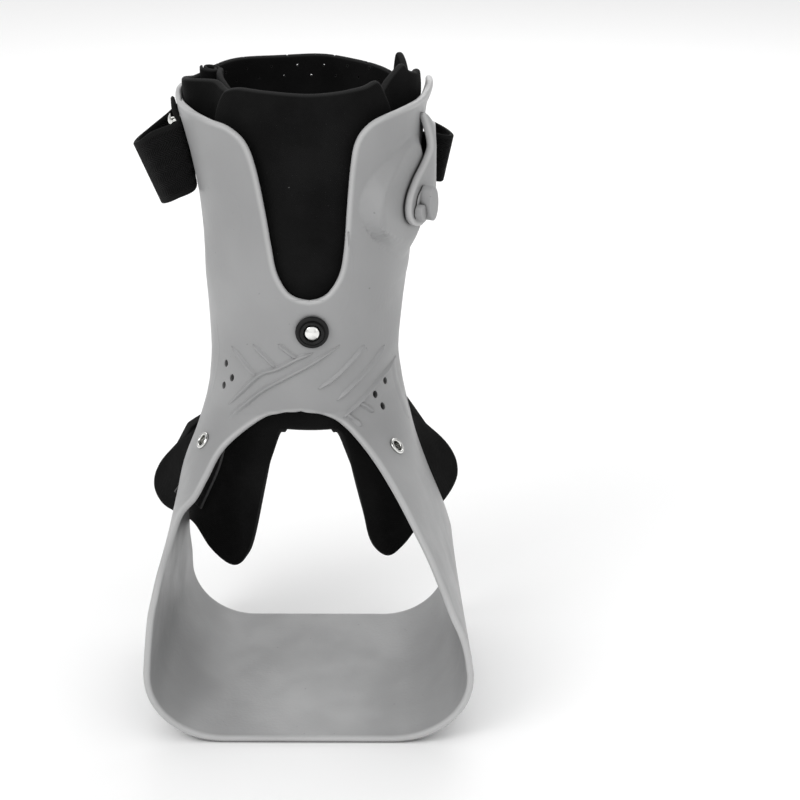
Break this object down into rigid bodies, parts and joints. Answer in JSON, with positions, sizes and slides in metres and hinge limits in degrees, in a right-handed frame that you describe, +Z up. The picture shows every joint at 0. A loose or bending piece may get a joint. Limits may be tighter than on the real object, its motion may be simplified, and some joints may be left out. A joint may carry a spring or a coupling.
{
  "type": "foot drop brace",
  "caption": "Moulded front-shin foot drop brace with an open sole loop, a U-shaped shin notch, a soft wrap-round liner, a rear strap and a side lever.",
  "frame": {"origin": "centre of the flat underside of the sole, halfway along the sole and on its middle line", "axes": "+Z up along the shin, -Y towards the toes, +Y towards the heel, +X to the wearer-facing viewer's right, the lever's side"},
  "size_m": [0.1183, 0.1329, 0.2169],
  "materials": {
    "shell_plastic": "satin moulded grey",
    "collar_rubber": "smooth black rubber",
    "bright_metal": "bright plated",
    "black_webbing": "woven black webbing",
    "black_neoprene": "knit-faced black neoprene",
    "hook_tape": "black hook tape"
  },
  "bodies": {
    "root": {"frame_shell": "shell_plastic", "valve_collar": "collar_rubber", "valve_core": "bright_metal", "eyelet_left": "bright_metal", "eyelet_right": "bright_metal", "strap_rivet": "bright_metal", "strap_lever": "shell_plastic", "lever_button": "shell_plastic", "strap": "black_webbing", "liner": "black_neoprene", "liner_back_band": "black_neoprene", "hook_patch": "hook_tape"}
  },
  "joints": []
}
